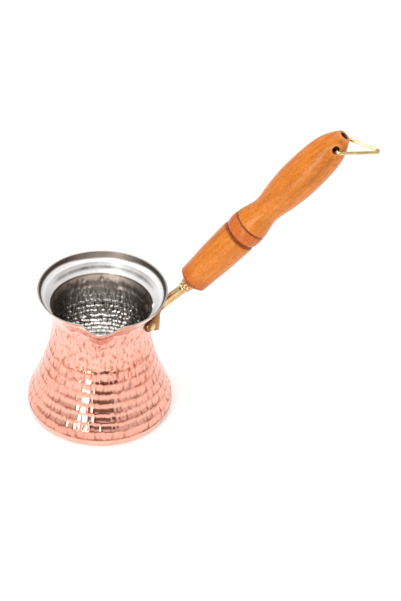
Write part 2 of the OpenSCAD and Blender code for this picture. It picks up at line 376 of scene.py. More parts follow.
def pot_surface(hammering, z, radius, normal, dents, rivets=0.0):
    """Rings of points for an outline of heights and radii, hammered along its normals. Angle 0 is -Y.

    dents scales the hammering of each ring, and rivets is 1 on the rings that cover the rivets' inner heads.
    """
    theta = np.arange(SEGMENTS) * TAU / SEGMENTS
    t, zz = np.meshgrid(theta, z)
    r = np.repeat(np.asarray(radius)[:, None], SEGMENTS, 1)
    depth, inside_blow = hammering.depth(t, zz)
    strength = hammer_strength(zz) * np.asarray(dents)[:, None]
    depth = depth * strength
    shown = np.minimum(np.abs(strength), 1) * (1 - 0.75 * smooth((zz - 44) / 14))
    shade = 1 - shown * (1 - inside_blow)
    bump = rivet_bump(t, zz) * np.asarray(rivets).reshape(-1, 1)
    moved = np.where(bump > 0, bump, depth)
    nr, nz = np.asarray(normal)[:, :1], np.asarray(normal)[:, 1:]
    rr = r - moved * nr
    x, y = rr * np.sin(t), -rr * np.cos(t)
    front = np.cos(t) > 0
    push = np.where(front, spout_push(x, zz, rr), 0)
    y = y - push + np.where(front, lip_dents(x, zz), 0)
    near_mouth = smooth((zz - MOUTH_LOW_Z) / MOUTH_RISE)
    droop = SPOUT_DROOP * (push / (SPOUT_REACH - MOUTH_R)) ** 2 * near_mouth
    x = x * (1 - MOUTH_SQUEEZE * near_mouth) + MOUTH_SHIFT * near_mouth
    points = np.stack([x, y, zz - moved * nz - droop], -1).reshape(-1, 3)
    return points, shade.reshape(-1)


def outline_normals(z):
    slope = wall_slope(z)
    length = np.sqrt(1 + slope**2)
    return np.stack([1 / length, -slope / length], 1)


def edge_arc(depth, count=5):
    """Rounded edge between the base and the wall at a depth."""
    edge = max(BASE_EDGE - depth, 0.25)
    a = np.linspace(-math.pi / 2, 0, count + 1)[:-1]
    r = float(inset_r(BASE_EDGE, depth)) - edge
    return r + edge * np.cos(a), depth + edge + edge * np.sin(a)


def straight(values):
    """Outline normals that point straight out, for stretches without hammering."""
    return np.tile([1.0, 0.0], (len(values), 1))


def skin_depth(z):
    """Depth of the hidden surface where copper and lining meet, less near the lip."""
    return SKIN_T - SKIN_THINNING * smooth((np.asarray(z, float) - 80) / 6)


def copper_body():
    arc_r, arc_z = edge_arc(0)
    flat = np.array([6, 14, 22, 30, 36, 39.5])
    z_wall = np.linspace(BASE_EDGE, POT_H - LIP_ROUND, FINE_ROWS)
    lip_angle = np.radians([20, 50, 80, 110])
    lip_r = MOUTH_R - LIP_ROUND * 1.6 + LIP_ROUND * np.cos(lip_angle) + 0.25
    lip_z = POT_H - LIP_ROUND + LIP_ROUND * np.sin(lip_angle)
    z_in = np.array([POT_H - 0.5, 84, 81.5, 78, 75, 68, 61, 52, 43, 34, 25, 17, 10, 5])
    r_in = inset_r(z_in, skin_depth(z_in))
    flat_in = np.array([40, 30, 15])
    z = np.concatenate([0 * flat, arc_z, z_wall, lip_z, z_in, 0 * flat_in + COPPER_T])
    r = np.concatenate([flat, arc_r, wall_r(z_wall), lip_r, r_in, flat_in])
    below, above = np.concatenate([flat, arc_r]), np.concatenate([lip_r, z_in, flat_in])
    normal = np.concatenate([straight(below), outline_normals(z_wall), straight(above)])
    dents = np.concatenate([0 * below, 1 + 0 * z_wall, 0 * above])
    points, shade = pot_surface(outer_hammering, z, r, normal, dents)
    points = np.concatenate([points, [[0, 0, 0], [0, 0, COPPER_T]]])
    obj = mesh_object("hammered_copper_body", points, capped_faces(len(z), SEGMENTS))
    # The dent attribute is painted shade: lower on the ridges between the blows.
    attribute(obj, "dent", np.append(shade, [1, 1]))
    return finish_mesh(obj)


def tin_lining():
    """Closed skin: hidden side up the copper, over the lip, down the hammered inside and across the floor."""
    depth = COPPER_T + TIN_T
    z_out = np.array([5, 10, 17, 25, 34, 43, 52, 61, 68, 75, 80, 84, POT_H - 0.5])
    r_out = inset_r(z_out, skin_depth(z_out) + SKIN_GAP)
    flat_out = np.array([15, 30, 40])
    lip_z = POT_H - np.array([0.30, 0.12, 0.03, 0.0, 0.03, 0.15])
    lip_r = MOUTH_R - 0.02 + np.array([0, -0.02, -0.16, -0.35, -0.6, -0.85])
    z_wall = np.linspace(POT_H - 0.4, LINING_LOW_Z, FINE_ROWS)
    within = np.clip((z_wall - COLLAR_LOW_Z) / (CREASE_Z - COLLAR_LOW_Z), 0, 1)
    below_collar = smooth((COLLAR_LOW_Z - z_wall) / LINING_FADE)
    crease = np.exp(-(((z_wall - COLLAR_LOW_Z + CREASE_DROP) / CREASE_W) ** 2))
    wall_depth = depth - 0.5 * smooth((z_wall - 82) / 4) + LINING_SHIFT * below_collar
    r_wall = inset_r(z_wall, wall_depth) + COLLAR_HOLLOW * np.sin(math.pi * within) + CREASE_T * crease
    arc_a = np.radians([15, 35, 55, 75, 90])
    floor_r = float(inset_r(LINING_LOW_Z, depth + LINING_SHIFT)) - LINING_FLOOR_R
    arc_r = floor_r + LINING_FLOOR_R * np.cos(arc_a)
    arc_z = depth + LINING_FLOOR_R - LINING_FLOOR_R * np.sin(arc_a)
    flat_in = np.array([36, 32, 28, 24, 20, 16, 12, 8, 4])
    z = np.concatenate([0 * flat_out + COPPER_T + 0.02, z_out, lip_z, z_wall, arc_z, 0 * flat_in + depth])
    r = np.concatenate([flat_out, r_out, lip_r, r_wall, arc_r, flat_in])
    below, above = np.concatenate([flat_out, z_out, lip_z]), np.concatenate([arc_z, flat_in])
    normal = np.concatenate([straight(below), outline_normals(z_wall), straight(above)])
    dents = np.concatenate([0 * below, -INNER_RELIEF * below_collar, 0 * above])
    inside = np.concatenate([0 * below, 1 + 0 * z_wall, 0 * above])
    points, shade = pot_surface(inner_hammering, z, r, normal, dents, inside)
    points = np.concatenate([points, [[0, 0, COPPER_T + 0.02], [0, 0, depth]]])
    obj = mesh_object("wiped_tin_lining", points, capped_faces(len(z), SEGMENTS))
    # Painted shade: the dent attribute falls to nothing in the crease under the collar, a dark line, and is
    # lower along the ridges.
    crease_rows = np.concatenate([0 * below, crease, 0 * above])
    attribute(obj, "dent", np.append(shade * (1 - np.repeat(crease_rows, SEGMENTS)), [1, 1]))
    paint_tin(obj, np.repeat(z, SEGMENTS), np.repeat(inside, SEGMENTS))
    return finish_mesh(obj)


def paint_tin(obj, height, on_wall_rows):
    """Marks the tarnish at the back, the sides for painted shade, and the zones.

    The zone is 0 on the hammered wall and rises to ZONE_COLLAR, ZONE_LIP and ZONE_BAND.
    height and on_wall_rows give every ring point's outline height and whether it is on the inside wall.
    """
    p = points_of(obj)[:-2]
    behind = smooth((p[:, 1] - 8) / 16)
    tarnish = sum(strength * bell(p[:, 2], at, width) for strength, at, width in TARNISH_STREAKS)
    attribute(obj, "tarnish", np.append(np.clip(behind * tarnish, 0, 1), [0, 0]))
    # The side attribute marks where the tin material paints shade.
    side = smooth((np.abs(p[:, 0]) - 8) / 22)
    attribute(obj, "side", np.append(side, [0, 0]))
    band = np.clip((height - CREASE_Z - BAND_LIFT - BAND_RISE * side) / BAND_EDGE_W + 0.5, 0, 1)
    zone = (ZONE_BAND - ZONE_COLLAR) * band + np.where(height > COLLAR_LOW_Z, ZONE_COLLAR, 0.0)
    on_lip_rows = (height > POT_H - 0.35) & (on_wall_rows == 0)
    attribute(obj, "zone", np.append(zone * on_wall_rows + ZONE_LIP * on_lip_rows, [0, 0]))


# ---------------------------------------------------------------- handle
# Outlines are [distance along the handle, radius]; GROOVES are a distance and a width of painted shade.
BARREL = [[0, 9.3], [5, 9.55], [11, 9.9], [20.5, 10.5], [30.5, 10.85], [38, 11.05], [41, 10.95], [41.6, 10.6]]
FRONT_GROOVE = [[41.9, 10.0], [42.2, 9.6], [42.7, 9.45], [43.2, 9.6], [43.5, 10.0]]
RING = [[43.8, 10.45], [45, 11.1], [48, 11.35], [51, 11.1], [52.0, 10.65]]
REAR_GROOVE = [[52.3, 10.2], [52.5, 10.05], [52.7, 10.25]]
GRIP = [[53, 10.6], [54.2, 10.8], [60.5, 9.3], [65.5, 8.5], [70.5, 8.9], [75.5, 9.75], [80.5, 10.5],
        [85.5, 11.05], [90.5, 11.5], [96, 11.64], [100.5, 11.6], [105.5, 11.5], [110.5, 11.2],
        [115.5, 10.75], [120.5, 9.9], [125.5, 8.4], [129.5, 6.5], [131.8, 5.2], [133.2, 4.5]]
GROOVES = ((0.0, 0.7), (42.7, 1.2), (52.5, 0.65))
RING_LOW_S, RING_HIGH_S = 43, 52.5
END_STAIN_S = 9
EYE_RIM, BORE_RIM = (2.6, 0.7), (3.9, 0.8)
HANDLE_SEGMENTS = 160


def handle_to_row(local):
    """Points in the handle's own frame, with Z along it, moved to the row frame."""
    x, y, s = np.asarray(local, float).reshape(-1, 3).T
    c, n = math.cos(HANDLE_TILT), math.sin(HANDLE_TILT)
    return np.stack([HANDLE_X + s * c + x * n, y, HANDLE_Z + s * n - x * c], 1)


def revolve(outline, segments, wobble=0.0):
    """Points of an outline of [distance, radius] turned round Z, with a little unevenness."""
    outline = np.asarray(outline, float)
    a = np.arange(segments) * TAU / segments
    s, r = outline[:, :1], outline[:, 1:]
    uneven = wobble * (np.sin(2 * a + 0.07 * s) + 0.6 * np.sin(3 * a - 0.045 * s + 1.0))
    r = r * (1 + uneven)
    return np.stack([r * np.cos(a), r * np.sin(a), np.repeat(s, segments, 1)], -1).reshape(-1, 3)


def turned(name, outline, move, segments=48):
    """A closed solid turned round its own axis, then moved by a function."""
    points = revolve(outline, segments)
    poles = [[0, 0, outline[0][0]], [0, 0, outline[-1][0]]]
    placed = move(np.concatenate([points, poles]))
    return finish_mesh(mesh_object(name, placed, capped_faces(len(outline), segments)))


def cut(obj, cutter):
    modifier = obj.modifiers.new("cut", "BOOLEAN")
    modifier.operation = "DIFFERENCE"
    modifier.solver = "EXACT"
    modifier.object = cutter
    apply_modifiers(obj)
    bpy.data.objects.remove(cutter)


def wooden_handle():
    cone = [[-HANDLE_CONE, COLLAR_END_R - 0.15], [-HANDLE_CONE + 0.15, COLLAR_END_R + 0.1]]
    shoulder = [[-0.5, 8.7], [-0.15, 9.1]]
    outline = np.concatenate([
        cone, shoulder, curve(BARREL, 10), FRONT_GROOVE, curve(RING, 6), REAR_GROOVE, curve(GRIP, 8),
        [[HANDLE_L - 0.12, TIP_R + 0.1], [HANDLE_L, TIP_R - 0.15]]])
    local = revolve(outline, HANDLE_SEGMENTS, 0.0035)
    poles = [[0, 0, -HANDLE_CONE], [0, 0, HANDLE_L]]
    points = handle_to_row(np.concatenate([local, poles]))
    faces = capped_faces(len(outline), HANDLE_SEGMENTS)
    obj = finish_mesh(mesh_object("turned_wooden_handle", points, faces))
    bore = [[-HANDLE_CONE - 2, BORE_R], [HANDLE_L - 0.5, BORE_R], [HANDLE_L + 0.5, BORE_R + 0.6]]
    cut(obj, turned("bore", bore, handle_to_row))
    wall = 7.7
    eye = [[-wall - 2, EYE_R + 1.2], [-wall + 0.6, EYE_R], [wall - 0.6, EYE_R], [wall + 2, EYE_R + 1.2]]

    def across(p):
        centre = np.array(handle_point(EYE_S, EYE_RISE))
        return np.stack([p[:, 0] + centre[0], p[:, 2], -p[:, 1] + centre[2]], 1)

    cut(obj, turned("eye", eye, across))
    paint_wood(obj)
    return obj


def paint_wood(obj):
    """Marks the grooves and the insides of the holes for painted shade, the stained ring and lower end, and
    the rims of the holes, paler from wear.
    """
    p = points_of(obj)
    c, n = math.cos(HANDLE_TILT), math.sin(HANDLE_TILT)
    along = (p[:, 0] - HANDLE_X) * c + (p[:, 2] - HANDLE_Z) * n
    across = (p[:, 2] - HANDLE_Z) * c - (p[:, 0] - HANDLE_X) * n
    groove = sum(bell(along, at, width) for at, width in GROOVES)
    ring = smooth((along - RING_LOW_S) / 1.5) * smooth((RING_HIGH_S - along) / 1.5)
    attribute(obj, "stain", np.clip(ring + smooth((END_STAIN_S - along) / END_STAIN_S), 0, 1))
    attribute(obj, "groove", np.clip(groove, 0, 1))
    from_eye = np.hypot(along - EYE_S, across - EYE_RISE)
    from_bore = np.hypot(across, p[:, 1])
    at_tip = along > HANDLE_L - 1.5
    rim = bell(from_eye, *EYE_RIM) + bell(from_bore, *BORE_RIM) * at_tip
    inside = (from_eye < EYE_R + 0.05) | (from_bore < BORE_R + 0.05)
    attribute(obj, "rim", np.clip(np.where(inside, 0, rim), 0, 1))
    attribute(obj, "inside", inside.astype(float))


# ---------------------------------------------------------------- bracket
def on_wall(local, angle, z):
    """Points with Z square to the wall, moved to an angle round the neck and a height."""
    local = np.asarray(local, float).reshape(-1, 3)
    tilt = math.atan(float(wall_slope(z)))
    x, y, out = local.T
    radial = out * math.cos(tilt) - x * math.sin(tilt)
    up = -out * math.sin(tilt) - x * math.cos(tilt)
    r = float(wall_r(z)) + radial
    c, n = math.cos(angle), math.sin(angle)
    return np.stack([r * c - y * n, r * n + y * c, z + up], 1)


def prism(name, outline, half_w):
    """An outline in the plane y = 0 pulled out to both sides."""
    outline = np.asarray(outline, float)
    n = len(outline)
    near = np.insert(outline, 1, -half_w, 1)
    far = np.insert(outline, 1, half_w, 1)
    faces = [(i, (i + 1) % n, n + (i + 1) % n, n + i) for i in range(n)]
    faces += [tuple(range(n))[::-1], tuple(range(n, 2 * n))]
    return finish_mesh(mesh_object(name, np.concatenate([near, far]), faces, False))


def saddle_band():
    """Curved plate on the neck, from lobe to lobe."""
    low, high = RIVET_Z - SADDLE_H / 2, RIVET_Z + SADDLE_H / 2
    half = RIVET_ANGLE - math.radians(3)
    angles = np.linspace(-half, half, 25)
    z = np.linspace(low, high, 8)
    outer = np.stack([wall_r(z) + SADDLE_T, z], 1)
    inner = np.stack([wall_r(z[::-1]) - 0.5, z[::-1]], 1)
    r, height = np.concatenate([outer, inner]).T
    n = len(r)
    points = np.concatenate([np.stack([r * math.cos(a), r * math.sin(a), height], 1) for a in angles])
    faces = grid_faces(len(angles), n)
    faces += [tuple(range(n))[::-1], tuple(range((len(angles) - 1) * n, len(angles) * n))]
    return finish_mesh(mesh_object("saddle_band", points, faces, False))


def tongue_line(x):
    """Height of the tongue's middle line above a place along X."""
    end = handle_point(-COLLAR_BACK)
    return end[2] + (x - end[0]) * math.tan(TONGUE_SLOPE)


def tongue_point(along, above=0.0, y=0.0):
    """Point at a distance back down the tongue from its collar end, above its middle line."""
    end = handle_point(-COLLAR_BACK)
    c, n = math.cos(TONGUE_SLOPE), math.sin(TONGUE_SLOPE)
    return (end[0] - along * c - above * n, y, end[2] - along * n + above * c)


def tongue_solid():
    """The upright root against the wall and the sloping tongue above it, in one outline."""
    rise = TONGUE_T / 2 / math.cos(TONGUE_SLOPE)
    end = handle_point(-COLLAR_BACK)
    arc = []
    for a in np.linspace(-90, 0, 7):
        across, up = math.cos(math.radians(a)), math.sin(math.radians(a))
        arc.append([ROOT_X - ROOT_EDGE + ROOT_EDGE * across, ROOT_LOW_Z + ROOT_EDGE + ROOT_EDGE * up])
    under, over = tongue_point(0, -TONGUE_T / 2), tongue_point(0, TONGUE_T / 2)
    outline = [[30.0, ROOT_LOW_Z], *arc, [ROOT_X, 72], [ROOT_X + 0.7, 75], [38.2, tongue_line(38.2) - rise],
               [under[0], under[2]], [end[0] + 2, end[2] + 1], [over[0], over[2]],
               [33.6, tongue_line(33.6) + rise], [31.0, 74]]
    return prism("tongue_solid", outline, TONGUE_W / 2)


def bead(name, centre, radii, along=(1, 0, 0), up=(0, 0, 1)):
    """An ellipsoid of three radii, its first along a direction and its third along another."""
    bm = bmesh.new()
    bmesh.ops.create_icosphere(bm, subdivisions=3, radius=1.0)
    mesh = bpy.data.meshes.new(name)
    bm.to_mesh(mesh)
    bm.free()
    a, u = Vector(along).normalized(), Vector(up).normalized()
    side = u.cross(a).normalized()
    turn = Matrix((a, side, u)).transposed().to_4x4()
    stretch = Matrix.Diagonal((*(Vector(radii) * MM), 1))
    mesh.transform(Matrix.Translation(Vector(centre) * MM) @ turn @ stretch)
    return link_object(name, mesh)


def tongue_ornament():
    """Raised borders, a middle ridge, a leaf of five petals and a row of pearls on the tongue's faces."""
    c, n = math.cos(TONGUE_SLOPE), math.sin(TONGUE_SLOPE)
    along, up = (c, 0, n), (-n, 0, c)
    top = TONGUE_T / 2
    parts = []
    for y in (-TONGUE_W / 2 + 0.45, TONGUE_W / 2 - 0.45):
        parts.append(bead("border", tongue_point(7.5, top, y), (8.2, 0.5, 0.45), along, up))
    parts.append(bead("ridge", tongue_point(9.5, top, 0), (6.0, 0.8, 0.55), along, up))
    for k in range(5):
        a = TAU * k / 5 + 0.3
        at = tongue_point(3.2 + 1.15 * math.cos(a), top, 1.15 * math.sin(a))
        petal = (c * math.cos(a), math.sin(a), n * math.cos(a))
        parts.append(bead("petal", at, (0.85, 0.5, 0.5), petal, up))
    parts.append(bead("heart", tongue_point(3.2, top, 0), (0.5, 0.5, 0.75), along, up))
    for side in (-1, 1):
        y = side * TONGUE_W / 2
        for k in range(7):
            at = tongue_point(2.2 + 1.75 * k, 0.15, y)
            parts.append(bead("side_pearl", at, (0.62, 0.32, 0.75), along, up))
    return parts


def collar_parts():
    """The flaring collar that meets the wood, with a ring of ten scallops."""
    length = COLLAR_BACK - HANDLE_CONE
    half = [math.radians(a) for a in np.linspace(-90, 90, 9)]
    quarter = [math.radians(a) for a in np.linspace(0, 90, 8)]
    beads = [[0.8 + 0.8 * math.sin(a), 3.1 + 0.8 * math.cos(a)] for a in half]
    flare = [[2.4 + (length - 2.9) * math.sin(a), COLLAR_END_R - 1.3 * math.cos(a)] for a in quarter]
    end = [[length - 0.25, COLLAR_END_R], [length, COLLAR_END_R - 0.2]]
    outline = [[-1.6, 2.6], *beads, [1.9, 3.2], *flare, *end]

    def move(p):
        p = np.array(p, float)
        p[:, 2] -= COLLAR_BACK
        return handle_to_row(p)

    parts = [turned("collar", outline, move)]
    axis = handle_to_row([[0, 0, 1]])[0] - handle_to_row([[0, 0, 0]])[0]
    for k in range(10):
        a = TAU * (k + 0.5) / 10
        out = handle_to_row([[math.cos(a), math.sin(a), 0]])[0] - handle_to_row([[0, 0, 0]])[0]
        at = handle_to_row([[3.95 * math.cos(a), 3.95 * math.sin(a), -HANDLE_CONE - 1.7]])[0]
        parts.append(bead("scallop", at, (1.3, 0.85, 0.5), axis, out))
    return parts


def handle_bracket():
    """All the bracket's parts melted into one casting."""
    parts = [saddle_band(), tongue_solid(), *tongue_ornament(), *collar_parts()]
    lobe = [[-0.5, LOBE_R], [0.9, LOBE_R], [1.6, LOBE_R - 0.3],
            [PAD_T - 0.25, LOBE_R - 0.7], [PAD_T, LOBE_R - 1.05]]
    for side in (-1, 1):
        parts.append(turned("lobe", lobe, lambda p: on_wall(p, side * RIVET_ANGLE, RIVET_Z)))
    casting = join("brass_casting", parts)
    remesh = casting.modifiers.new("cast", "REMESH")
    remesh.mode = "VOXEL"
    remesh.voxel_size = CAST_VOXEL * MM
    soften = casting.modifiers.new("soften", "SMOOTH")
    soften.factor = 0.5
    soften.iterations = 3
    apply_modifiers(casting)
    shade_smooth(casting)
    paint_brass(casting)
    return casting


def paint_brass(obj):
    """Marks the seam along the pot's wall, for painted shadow, and how near the pot each point is, for a
    painted reflection.
    """
    p = points_of(obj)
    gap = np.hypot(p[:, 0], p[:, 1]) - wall_r(p[:, 2])
    attribute(obj, "seam", smooth(1 - gap / 1.3))
    attribute(obj, "near_pot", smooth(1.3 - gap / 7.0) * (p[:, 2] < 78))


def join(name, parts):
    """One object from several, each a closed shell."""
    bm = bmesh.new()
    for part in parts:
        bm.from_mesh(part.data)
        bpy.data.objects.remove(part)
    mesh = bpy.data.meshes.new(name)
    bm.to_mesh(mesh)
    bm.free()
    return link_object(name, mesh)


# ---------------------------------------------------------------- rivets
def dome(radius, height, count=9):
    """Outline of a shallow cap, from its rim to just short of its pole."""
    ball = (radius**2 + height**2) / (2 * height)
    a = np.linspace(math.asin(min(radius / ball, 1)), 0.06, count)
    return [[height - ball + ball * math.cos(t), ball * math.sin(t)] for t in a]


def rivet(name, angle, z, outer_head):
    """A rivet square to the wall. Its inner head stays under the lining's bump, which rivet_bump makes."""
    inner = COPPER_T + TIN_T
    hidden = dome(HEAD_R - HEAD_INSET_R, INNER_HEAD_H - HEAD_INSET_H)
    head = [[-q[0] - inner, q[1]] for q in reversed(hidden)]
    if outer_head:
        shown = [[q[0] + PAD_T, q[1]] for q in dome(HEAD_R, HEAD_H)]
        tail = [[PAD_T - 0.1, SHANK_R], [PAD_T - 0.05, HEAD_R - 0.15], *shown]
    else:
        tail = [[3.5, SHANK_R]]
    outline = [*head, [-inner + 0.15, 2.0], [-inner + 0.2, SHANK_R], *tail]
    return turned(name, outline, lambda p: on_wall(p, angle, z), 40)


def side_rivets():
    pair = [rivet("rivet", side * RIVET_ANGLE, RIVET_Z, True) for side in (-1, 1)]
    obj = join("domed_side_rivets", pair)
    shade_smooth(obj)
    return obj


# ---------------------------------------------------------------- hanging loop
def loop_path():
    """Centre line of the closed wire, in its own plane: u away from the cross hole, v along it."""
    slant = math.atan(LOOP_HALF_W / (LOOP_L + APEX_R * 2.2))
    apex = LOOP_L + APEX_R * (1 / math.sin(slant) - 1)
    slant = math.atan(LOOP_HALF_W / apex)
    corner_v = LOOP_HALF_W - CORNER_R * math.tan(math.pi / 4 + slant / 2)
    centre = apex - APEX_R / math.sin(slant)
    path = [(0, v) for v in np.linspace(-corner_v, corner_v, 14)[1:-1]]
    bend = np.linspace(math.pi, math.pi / 2 - slant, 12)
    upper = [(CORNER_R + CORNER_R * math.cos(a), corner_v + CORNER_R * math.sin(a)) for a in bend]
    tip = np.linspace(math.pi / 2 - slant, 0, 9)
    round_tip = [(centre + APEX_R * math.cos(a), APEX_R * math.sin(a)) for a in tip]
    a, b = np.array(upper[-1]), np.array(round_tip[0])
    leg = [tuple(a + (b - a) * t) for t in np.linspace(0, 1, 22)[1:-1]]
    half = upper + leg + round_tip
    back = [(u, -v) for u, v in reversed(half[:-1])]
    return np.array(path + half + back)


def hanging_loop():
    path = loop_path()
    n = len(path)
    ahead = np.roll(path, -1, 0) - np.roll(path, 1, 0)
    ahead /= np.linalg.norm(ahead, axis=1)[:, None]
    side = np.stack([ahead[:, 1], -ahead[:, 0]], 1)
    a = np.arange(20) * TAU / 20
    u = path[:, :1] + WIRE_R * np.cos(a) * side[:, :1]
    v = path[:, 1:] + WIRE_R * np.cos(a) * side[:, 1:]
    w = np.repeat((WIRE_R * np.sin(a))[None], n, 0)
    eye = np.array(handle_point(EYE_S, EYE_RISE)) + (WIRE_SAG[0], 0, WIRE_SAG[1])
    c, s = math.cos(LOOP_DROP), math.sin(LOOP_DROP)
    points = np.stack([eye[0] + u * c + w * s, v, eye[2] - u * s + w * c], -1).reshape(-1, 3)
    return finish_mesh(mesh_object("wire_hanging_loop", points, grid_faces(n, 20, True)))


# ---------------------------------------------------------------- materials
class Nodes:
    """A material's node tree, built with short calls."""

    def __init__(self, name):
        self.material = bpy.data.materials.new(name)
        self.material.use_nodes = True
        self.tree = self.material.node_tree
        self.tree.nodes.clear()
        self.out = self.add("ShaderNodeOutputMaterial")
        self.shader = self.add("ShaderNodeBsdfPrincipled")
        self.link(self.shader.outputs[0], self.out.inputs["Surface"])

    def add(self, kind, **settings):
        node = self.tree.nodes.new(kind)
        for key, value in settings.items():
            setattr(node, key, value)
        return node

    def link(self, source, target):
        self.tree.links.new(source, target)

    def feed(self, socket, value):
        if isinstance(value, bpy.types.NodeSocket):
            self.link(value, socket)
        else:
            socket.default_value = value

    def set(self, node, **values):
        for key, value in values.items():
            self.feed(node.inputs[key.replace("_", " ")], value)
        return node

    def coordinates(self, scale=(1, 1, 1)):
        source = self.add("ShaderNodeTexCoord").outputs["Object"]
        return self.set(self.add("ShaderNodeMapping"), Vector=source, Scale=scale).outputs[0]

    def along_handle(self, stretch):
        """Coordinates turned so that Z runs along the handle, stretched that way."""
        source = self.add("ShaderNodeTexCoord").outputs["Object"]
        turned_back = self.add("ShaderNodeMapping", vector_type="TEXTURE")
        turn = (0, math.pi / 2 - HANDLE_TILT, 0)
        return self.set(turned_back, Vector=source, Rotation=turn, Scale=(1, 1, stretch)).outputs[0]

    def noise(self, vector, scale, detail=4.0, roughness=0.5, distortion=0.0):
        node = self.add("ShaderNodeTexNoise")
        self.set(node, Vector=vector, Scale=scale, Detail=detail, Roughness=roughness, Distortion=distortion)
        return node.outputs["Fac"]

    def ramp(self, value, stops):
        node = self.add("ShaderNodeValToRGB")
        elements = node.color_ramp.elements
        while len(elements) < len(stops):
            elements.new(0.5)
        for element, (position, colour) in zip(elements, stops):
            element.position = position
            element.color = (*colour, 1) if hasattr(colour, "__len__") else (colour, colour, colour, 1)
        self.link(value, node.inputs[0])
        return node.outputs[0]

    def math(self, operation, a, b=0.0, c=0.0):
        node = self.add("ShaderNodeMath", operation=operation)
        for socket, value in zip(node.inputs, (a, b, c)):
            self.feed(socket, value)
        return node.outputs[0]

    def mix(self, factor, a, b, blend="MIX"):
        node = self.add("ShaderNodeMix", data_type="RGBA", blend_type=blend)
        self.feed(node.inputs[0], factor)
        for socket, colour in ((node.inputs[6], a), (node.inputs[7], b)):
            self.feed(socket, (*colour, 1) if isinstance(colour, tuple) else colour)
        return node.outputs[2]

    def height(self):
        """Height above the floor, in tenths of a metre."""
        source = self.add("ShaderNodeTexCoord").outputs["Object"]
        parts = self.add("ShaderNodeSeparateXYZ")
        self.link(source, parts.inputs[0])
        return self.math("MULTIPLY", parts.outputs["Z"], 10.0)

    def attribute(self, name):
        return self.add("ShaderNodeAttribute", attribute_name=name).outputs["Fac"]

    def bump(self, *layers):
        """Stacked bumps, each a height and the distance it stands, in metres."""
        normal = None
        for height, distance in layers:
            node = self.add("ShaderNodeBump")
            self.set(node, Height=height, Distance=distance, Strength=1.0)
            if normal is not None:
                self.link(normal, node.inputs["Normal"])
            normal = node.outputs[0]
        return normal


WHITE = (1.0, 1.0, 1.0)


def copper_material():
    """Polished copper: painted shade along the ridges between the blows, mottled painted light and shade on
    the neck, and a foot, neck and lip painted paler.
    """
    m = Nodes("polished_copper")
    cloud = m.noise(m.coordinates(), 38, 5, 0.55)
    streaks = m.noise(m.coordinates(scale=(30, 30, 700)), 1.0, 6, 0.6)
    grit = m.noise(m.coordinates(), 2600, 3, 0.6)
    # Painted light: the foot stop is paler against the contact shadow it reflects, and the neck and lip stops
    # are paler against the red they reflect.
    foot, belly, neck, lip = (0.98, 0.66, 0.53), (0.90, 0.45, 0.35), (0.87, 0.48, 0.39), (0.95, 0.68, 0.60)
    base = m.ramp(m.height(), [(0.03, foot), (0.07, belly), (0.45, belly),
                               (0.60, neck), (0.70, neck), (0.78, lip)])
    tint = m.ramp(cloud, [(0.30, (0.92, 0.88, 0.86)), (0.60, WHITE)])
    # Painted shade: darker along the ridges between the blows, from the dent attribute, broken up at random.
    painted_ridge_shade = m.ramp(m.attribute("dent"), [(0.0, (0.34, 0.22, 0.16)), (0.25, (0.74, 0.62, 0.57)), (0.60, WHITE)])
    # Painted light and shade: mottled darker and lighter marks on the neck, masked by height.
    mottle = m.noise(m.coordinates(scale=(1, 1, 0.5)), 560, 2, 0.5)
    painted_neck_mottle = m.ramp(mottle, [(0.34, (0.66, 0.46, 0.38)), (0.44, (0.93, 0.84, 0.81)),
                              (0.54, (1.0, 0.98, 0.97)), (0.66, (1.0, 1.08, 1.08))])
    upper = m.ramp(m.height(), [(0.30, 0.25), (0.46, 1.0), (0.76, 1.0), (0.82, 0.25)])
    broken = m.ramp(m.noise(m.coordinates(), 150, 3, 0.6), [(0.36, 0.35), (0.56, 1.0)])
    lined = m.mix(broken, WHITE, painted_ridge_shade)
    neck_painted_light_and_shade = m.mix(upper, WHITE, painted_neck_mottle)
    surface = m.mix(1.0, m.mix(1.0, base, tint, "MULTIPLY"), lined, "MULTIPLY")
    colour = m.mix(1.0, surface, neck_painted_light_and_shade, "MULTIPLY")
    rough = m.math("ADD", m.math("MULTIPLY", streaks, 0.10), m.math("MULTIPLY", cloud, 0.10))
    normal = m.bump((streaks, 0.000010), (grit, 0.000005))
    m.set(m.shader, Base_Color=colour, Metallic=0.98, Roughness=m.math("ADD", rough, 0.04), Normal=normal)
    return m.material


